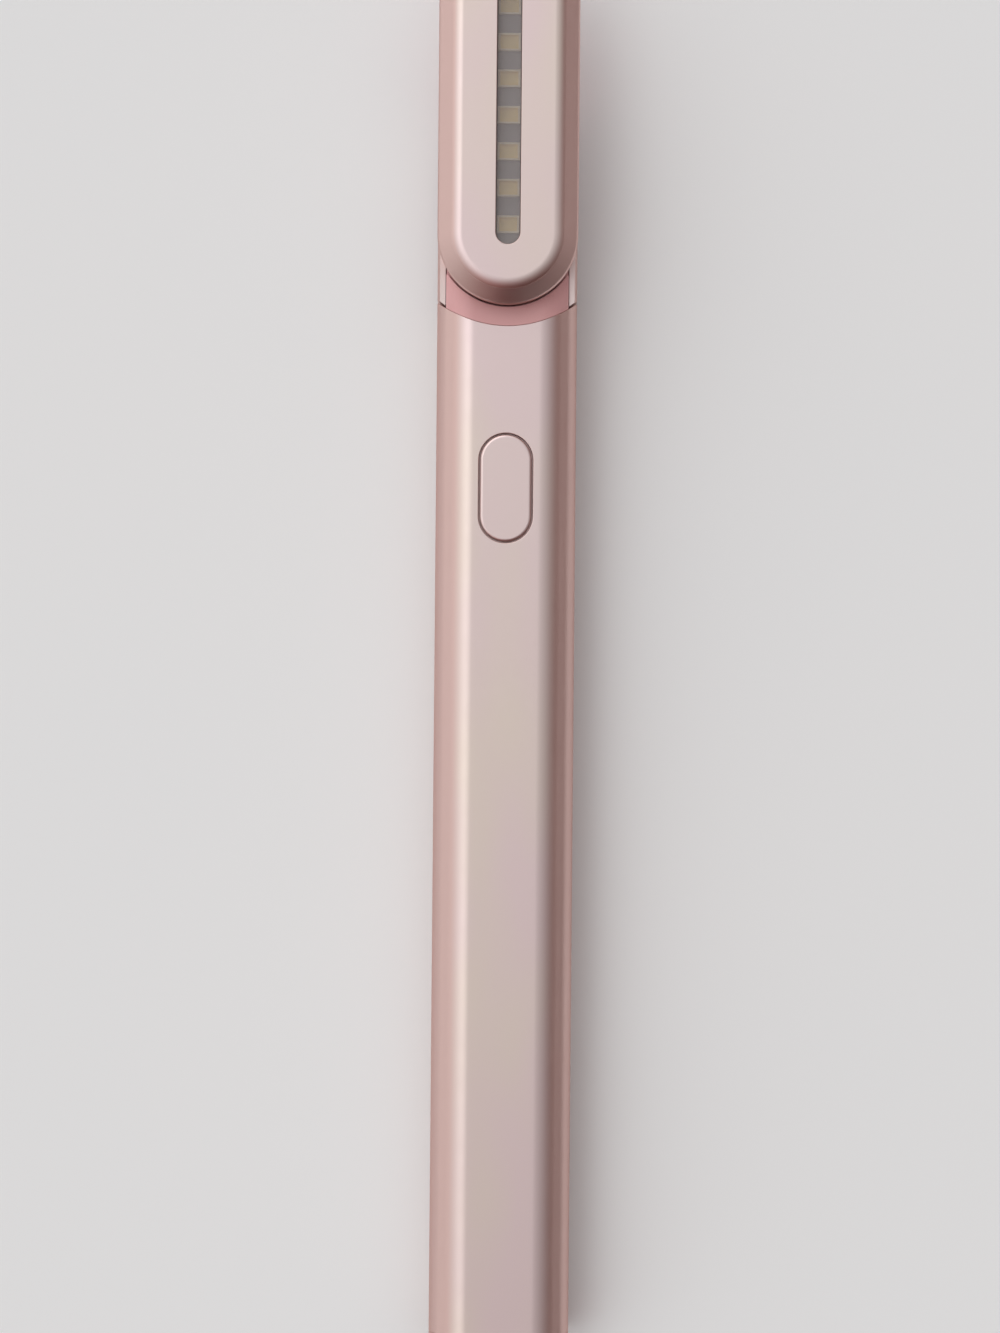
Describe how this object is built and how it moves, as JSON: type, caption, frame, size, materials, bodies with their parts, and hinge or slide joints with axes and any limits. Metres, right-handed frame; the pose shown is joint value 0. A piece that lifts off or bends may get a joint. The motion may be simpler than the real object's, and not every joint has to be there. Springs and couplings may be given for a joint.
{
  "type": "skincare wand",
  "caption": "Slim eight-sided handheld skincare wand with a tilting light head, a raised metal treatment plate and a flush power button.",
  "frame": {"origin": "under the middle of the wand's length, on the flat back of the handle that it lies on", "axes": "+X across the wand, +Y from the butt end to the head, +Z out of the lit treatment face"},
  "size_m": [0.017, 0.171, 0.0178],
  "materials": {
    "rose_metal": "satin anodised",
    "bright_metal": "satin",
    "pink_plastic": "smooth moulded",
    "smoked_window": "clear smoked",
    "lamp": "phosphor in a white case",
    "steel": "plain",
    "copper": "plain",
    "board_green": "solder mask",
    "board_white": "solder mask",
    "dark_plastic": "moulded",
    "pale_plastic": "moulded",
    "soft_rubber": "matt",
    "cell_wrap": "shrink film",
    "wire_red": "smooth",
    "wire_black": "smooth",
    "wire_yellow": "smooth"
  },
  "bodies": {
    "handle": {"handle_tube": "rose_metal", "end_cap": "rose_metal", "end_screw_lower": "steel", "end_screw_upper": "steel", "usb_shell": "steel", "usb_tongue": "dark_plastic", "charge_board": "board_green", "chassis_tray": "pale_plastic", "battery_cell": "cell_wrap", "battery_tab_front": "steel", "battery_tab_rear": "steel", "battery_lead_positive": "wire_red", "battery_lead_negative": "wire_black", "charge_lead": "wire_yellow", "motor_can": "steel", "motor_cradle": "soft_rubber", "main_board": "board_green", "board_screw_rear": "steel", "board_screw_front": "steel", "control_chip": "dark_plastic", "boost_coil": "copper", "handle_contact_pin": "copper", "button_gasket": "soft_rubber", "button_guide": "pale_plastic", "switch_body": "dark_plastic", "neck_bridge": "pink_plastic", "neck_side_plate_left": "bright_metal", "neck_side_plate_right": "bright_metal", "neck_screw_left": "steel", "neck_screw_right": "steel", "hinge_pin_left": "steel", "hinge_pin_right": "steel", "hinge_bush_left": "copper", "hinge_bush_right": "copper", "friction_washer_left": "soft_rubber", "friction_washer_right": "soft_rubber", "neck_lead": "wire_black"},
    "head": {"head_shell": "rose_metal", "head_back_cover": "pink_plastic", "head_screw_upper": "steel", "head_screw_lower": "steel", "treatment_plate": "rose_metal", "plate_gasket": "soft_rubber", "light_window": "smoked_window", "led_board": "board_white", "led_1": "lamp", "led_2": "lamp", "led_3": "lamp", "led_4": "lamp", "led_5": "lamp", "led_6": "lamp", "led_7": "lamp", "led_screw_upper": "steel", "led_screw_lower": "steel", "plate_contact_pin": "copper", "head_lead": "wire_black"},
    "button": {"power_button": "rose_metal"},
    "plunger": {"switch_plunger": "pale_plastic"},
    "rotor": {"motor_shaft": "steel", "motor_weight": "steel"}
  },
  "joints": [
    {"name": "head_tilt", "type": "hinge", "parent": "handle", "child": "head", "pos_m": [0, 0.0627, 0.0065], "axis": [-1, 0, 0], "range_deg": [0, 90]},
    {"name": "button_press", "type": "slide", "parent": "handle", "child": "button", "axis": [0, 0, -1], "range_m": [0, 0.0004], "stiffness_N_per_m": 4000},
    {"name": "switch_press", "type": "slide", "parent": "handle", "child": "plunger", "axis": [0, 0, -1], "range_m": [0, 0.0004]},
    {"name": "motor_spin", "type": "hinge", "parent": "handle", "child": "rotor", "pos_m": [0, -0.0074, 0.0055], "axis": [0, 1, 0], "continuous": true}
  ],
  "couplings": [
    {"joint": "switch_press", "follows": "button_press", "ratio": 1}
  ]
}
